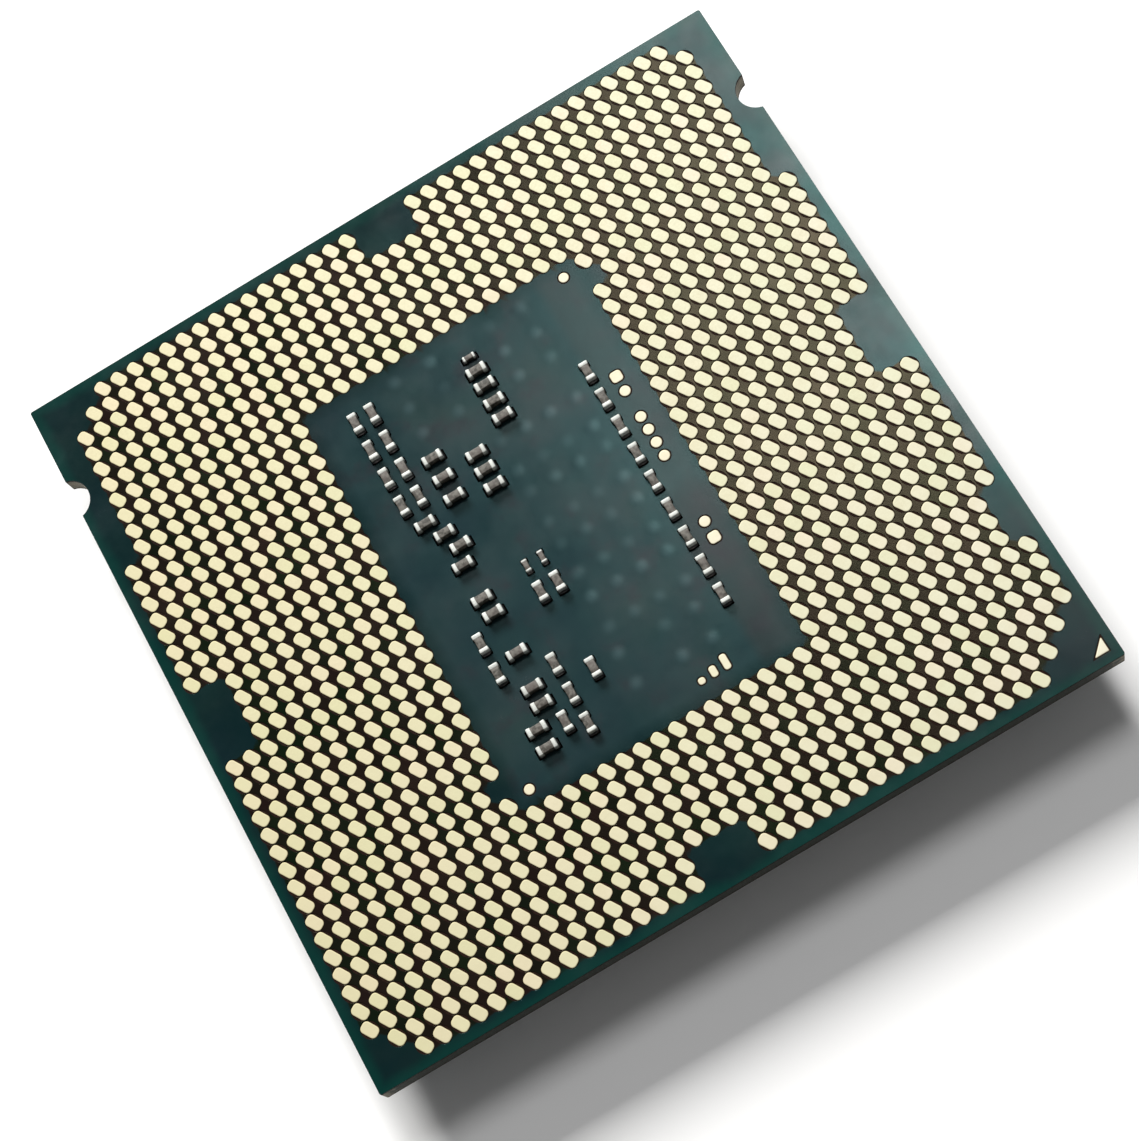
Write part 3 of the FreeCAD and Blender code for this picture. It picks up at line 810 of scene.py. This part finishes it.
def make_mask(name, node, z_face, z_back, openings, domes):
    """Lacquer film: one closed sheet with rounded lips, and low domes where vias push it up."""
    shell = Shell()
    upward = 1.0 if z_face > z_back else -1.0
    pairs = rounded_profile(MASK_LIP, z_face, upward > 0, 2)
    face_loops, back_loops = [], []
    for outline, sign in [(package_outline, 1.0)] + [(one, -1.0) for one in openings]:
        loops = [shell.loop(outline(0.0), z_back)]
        loops += [shell.loop(outline(sign * inset), z) for inset, z in pairs]
        for lower, upper in zip(loops, loops[1:]):
            shell.wall(lower, upper)
        face_loops.append(loops[-1])
        back_loops.append(loops[0])
    free = []
    for x, y in domes:
        height = DOME_RISE * RNG.uniform(DOME_LEAST_SHARE, 1.0)
        for ring, count in DOME_RINGS:
            rise = height * (0.5 + 0.5 * math.cos(math.pi * ring))
            outline = oval(2 * DOME_R * ring, 2 * DOME_R * ring, (x, y), steps=count)
            free += shell.loop(outline, z_face + upward * rise)
    shell.sheet(face_loops, free)
    shell.sheet(back_loops)
    return make_piece(name, shell, MATERIALS["solder_mask"], [node])


def rounded_box(size, radius):
    """Points and faces of a box with rounded edges, centred on the origin."""
    bm = bmesh.new()
    bmesh.ops.create_cube(bm, size=1.0)
    bmesh.ops.scale(bm, vec=Vector(size), verts=bm.verts)
    bmesh.ops.bevel(bm, geom=list(bm.edges), offset=radius, segments=3, profile=0.5,
                    affect="EDGES")
    bm.verts.ensure_lookup_table()
    points = [v.co.copy() for v in bm.verts]
    faces = [[v.index for v in f.verts] for f in bm.faces]
    bm.free()
    return points, faces


def placed(points, centre, along_y):
    """Points of a part built along X, turned if it lies along Y, and moved to its place."""
    turned = []
    for p in points:
        x, y = (-p.y, p.x) if along_y else (p.x, p.y)
        turned.append(Vector((centre[0] + x, centre[1] + y, centre[2] + p.z)))
    return turned


def fillet(length, width, height, reach):
    """Solder that climbs a terminal's end: hollow in profile, rounded off at its sides."""
    points, faces = [], []
    across, along = 9, 6
    for i in range(across):
        share = -1 + 2 * i / (across - 1)
        swell = math.sqrt(max(0.0, 1 - 0.75 * share * share))
        y = share * width / 2
        for j in range(along):
            angle = math.radians(90.0 * j / (along - 1))
            out = reach * swell * (1 - math.sin(angle))
            rise = height * swell * (1 - math.cos(angle))
            points.append(Vector((length / 2 + out, y, rise)))
        points.append(Vector((length / 2 - FILLET_OVERLAP, y, height * swell)))
        points.append(Vector((length / 2 - FILLET_OVERLAP, y, 0.0)))
    ring = along + 2
    for i in range(across - 1):
        for j in range(ring):
            k = (j + 1) % ring
            faces.append((i * ring + j, i * ring + k, (i + 1) * ring + k, (i + 1) * ring + j))
    faces.append(tuple(range(ring)))
    faces.append(tuple(reversed(range((across - 1) * ring, across * ring))))
    return points, faces


def make_capacitor_bank(suffix, solder):
    """Bodies and end caps of one bank; its solder is added to the shared shell."""
    bodies, terminals = Shell(), Shell()
    node = "capacitor_bodies_" + suffix
    for low, high, _ in solids_in(node):
        size_x, size_y, height = high - low
        along_y = size_y > size_x
        length, width = max(size_x, size_y), min(size_x, size_y)
        centre = ((low.x + high.x) / 2, (low.y + high.y) / 2, Z_MASK_TOP)
        whole = (length, width, height)
        body_size = [part * share for part, share in zip(whole, BODY_SHARES)]
        points, faces = rounded_box(body_size, BODY_EDGE_R)
        lifted = [p + Vector((0, 0, height / 2)) for p in points]
        bodies.add(placed(lifted, centre, along_y), faces)
        for side in (-1, 1):
            cap_length = length * (END_CAP_SHARE + RNG.uniform(-END_CAP_SPREAD, END_CAP_SPREAD))
            points, faces = rounded_box((cap_length, width, height), END_CAP_EDGE_R)
            moved = []
            for p in points:
                taper = 1 - END_CAP_TAPER * abs(p.x / cap_length - side / 2)
                moved.append(Vector((p.x + side * (length - cap_length) / 2,
                                     p.y * taper, p.z * taper + height / 2)))
            terminals.add(placed(moved, centre, along_y), faces)
            points, faces = fillet(length, width, height * FILLET_SHARE, FILLET_REACH)
            moved = [Vector((side * p.x, p.y, p.z)) for p in points]
            solder.add(placed(moved, centre, along_y), faces)
    make_piece("ceramic_bodies_" + suffix, bodies, MATERIALS["capacitor_ceramic"],
               [node])
    make_piece("end_caps_" + suffix, terminals, MATERIALS["terminal_tin"],
               ["capacitor_terminals_" + suffix])


def make_capacitors():
    solder = Shell()
    prefix = "capacitor_bodies_"
    for node in sorted(frame["nodes"]):
        if node.startswith(prefix):
            make_capacitor_bank(node[len(prefix):], solder)
    make_piece("solder_fillets", solder, MATERIALS["solder"], ["capacitor_solder"])


def make_lid():
    """Stamped heat spreader: rounded plateau, stepped flange with two ears, and its cavity."""
    shell = Shell()

    def plateau(inset):
        size = (PLATEAU[0] - 2 * inset, PLATEAU[1] - 2 * inset)
        return rounded_rectangle(size, PLATEAU_CORNER_R - inset, steps=9)

    def cavity(inset):
        size = (CAVITY[0] - 2 * inset, CAVITY[1] - 2 * inset)
        return rounded_rectangle(size, CAVITY_CORNER_R - inset, steps=9)

    z_step = Z_LID_FOOT - FLANGE_T
    loops = [shell.loop(plateau(inset), z)
             for inset, z in reversed(rounded_profile(PLATEAU_EDGE_R, 0.0, False, 6))]
    for step in range(5):
        angle = math.radians(90.0 * step / 4)
        grow = STEP_FILLET * (1 - math.cos(angle))
        z = z_step - STEP_FILLET * (1 - math.sin(angle))
        loops.append(shell.loop(plateau(-grow), z))
    for lower, upper in zip(loops, loops[1:]):
        shell.wall(lower, upper)
    shell.cap(reversed(loops[0]))
    flange = [shell.loop(lid_outline(inset), z)
              for inset, z in reversed(rounded_profile(FLANGE_EDGE_R, z_step, False, 4))]
    flange += [shell.loop(lid_outline(inset), z)
               for inset, z in rounded_profile(FOOT_EDGE_R, Z_LID_FOOT, True, 2)]
    for lower, upper in zip(flange, flange[1:]):
        shell.wall(lower, upper)
    shell.sheet([flange[0], loops[-1]])
    pocket = [shell.loop(cavity(0.0), Z_LID_FOOT), shell.loop(cavity(0.0), CAVITY_CEILING)]
    shell.wall(pocket[0], pocket[1])
    shell.cap(pocket[1])
    shell.sheet([flange[-1], pocket[0]])
    make_piece("stamped_heat_spreader", shell, MATERIALS["nickel_plated_copper"],
               ["heat_spreader_lid"])


# ==== stage ==================================================================================
CAMERA_PLACE = (3.2817, -44.9639, 116.0112)     # mm, from the middle of the land plane
CAMERA_HEADING = -4.578                          # degrees from +Y towards +X
CAMERA_PITCH = 69.792                            # degrees below the horizon
CAMERA_ROLL = 35.18                              # degrees
CAMERA_LENS = 86.08                              # mm, on the sensor below
SENSOR = 36.0                                    # mm

# A key beyond the +Y edge, and a dim card that sheens the +X side. Metres and watts.
KEY_PLACE = (-0.02, 0.79, 0.54)
KEY_SIZE = (0.40, 0.30)
KEY_POWER = 16.2
KEY_COLOUR = (1.0, 0.99, 0.97)
CARD_PLACE = (0.112, 0.240, 0.53)
CARD_SIZE = (0.16, 0.17)
CARD_POWER = 1.0
SKY_STRENGTH = 0.15
FLOOR_HALF = 2.0
FLOOR_DROP = 0.02 * MM                           # keeps the floor clear of the heat spreader


def make_camera():
    data = bpy.data.cameras.new("camera")
    data.lens = CAMERA_LENS
    data.sensor_width = SENSOR
    data.clip_start = 5 * MM
    data.clip_end = 5.0
    camera = bpy.data.objects.new("camera", data)
    bpy.context.scene.collection.objects.link(camera)
    heading, pitch = math.radians(CAMERA_HEADING), math.radians(CAMERA_PITCH)
    forward = Vector((math.sin(heading) * math.cos(pitch), math.cos(heading) * math.cos(pitch),
                      -math.sin(pitch)))
    right = forward.cross(Vector((0, 0, 1))).normalized()
    right.rotate(Matrix.Rotation(math.radians(CAMERA_ROLL), 3, forward))
    up = right.cross(forward)
    turn = Matrix((right, up, -forward)).transposed()
    place = Vector(CAMERA_PLACE) * MM + Vector((0, 0, Z_LAND_TOP))
    camera.matrix_world = Matrix.Translation(place) @ turn.to_4x4()
    bpy.context.scene.camera = camera


def area_light(name, place, target, size, power, colour=(1.0, 1.0, 1.0)):
    data = bpy.data.lights.new(name, "AREA")
    data.shape = "RECTANGLE"
    data.size, data.size_y = size
    data.energy = power
    data.color = colour
    light = bpy.data.objects.new(name, data)
    bpy.context.scene.collection.objects.link(light)
    light.location = place
    aim = Vector(target) - Vector(place)
    light.rotation_mode = "QUATERNION"
    light.rotation_quaternion = aim.to_track_quat("-Z", "Y")


def make_stage():
    mesh = bpy.data.meshes.new("floor")
    corners = [(x * FLOOR_HALF, y * FLOOR_HALF, 0) for x, y in ((-1, -1), (1, -1), (1, 1), (-1, 1))]
    mesh.from_pydata(corners, [], [(0, 1, 2, 3)])
    floor = bpy.data.objects.new("floor", mesh)
    floor.location.z = -FLOOR_DROP
    bpy.context.scene.collection.objects.link(floor)
    n = Nodes("floor_white")
    n.surface(Base_Color=(0.9, 0.9, 0.9, 1.0), Roughness=0.9, Specular_IOR_Level=0.1)
    mesh.materials.append(n.material)
    area_light("key", KEY_PLACE, (0, 0, 0), KEY_SIZE, KEY_POWER, KEY_COLOUR)
    area_light("sheen_card", CARD_PLACE, (0, 0, 0), CARD_SIZE, CARD_POWER)
    world = bpy.data.worlds.new("world")
    world.use_nodes = True
    sky = world.node_tree.nodes["Background"]
    sky.inputs["Color"].default_value = (1.0, 1.0, 1.0, 1.0)
    sky.inputs["Strength"].default_value = SKY_STRENGTH
    bpy.context.scene.world = world
    bpy.context.scene.view_settings.view_transform = "Standard"


# ==== build ==================================================================================
dress_cad_nodes()
land_middles = make_lands()
upper_marks, lower_marks = make_marks()
land_openings = []
for land_x, land_y in land_middles:
    def opening(grow, x=land_x, y=land_y):
        return oval(OPENING_LENGTH - 2 * grow, OPENING_WIDTH - 2 * grow, (x, y), LAND_TURN)
    land_openings.append(opening)
upper_mask = make_mask("land_side_solder_mask", "solder_mask_land_side", Z_MASK_TOP, Z_FILM_TOP,
                       land_openings + upper_marks, dome_places())
mark_between_lands(upper_mask.data, land_middles)
make_mask("lid_side_solder_mask", "solder_mask_lid_side", Z_LOWER_MASK, Z_LOWER_FILM,
          lower_marks, [])
make_capacitors()
make_lid()
make_camera()
make_stage()
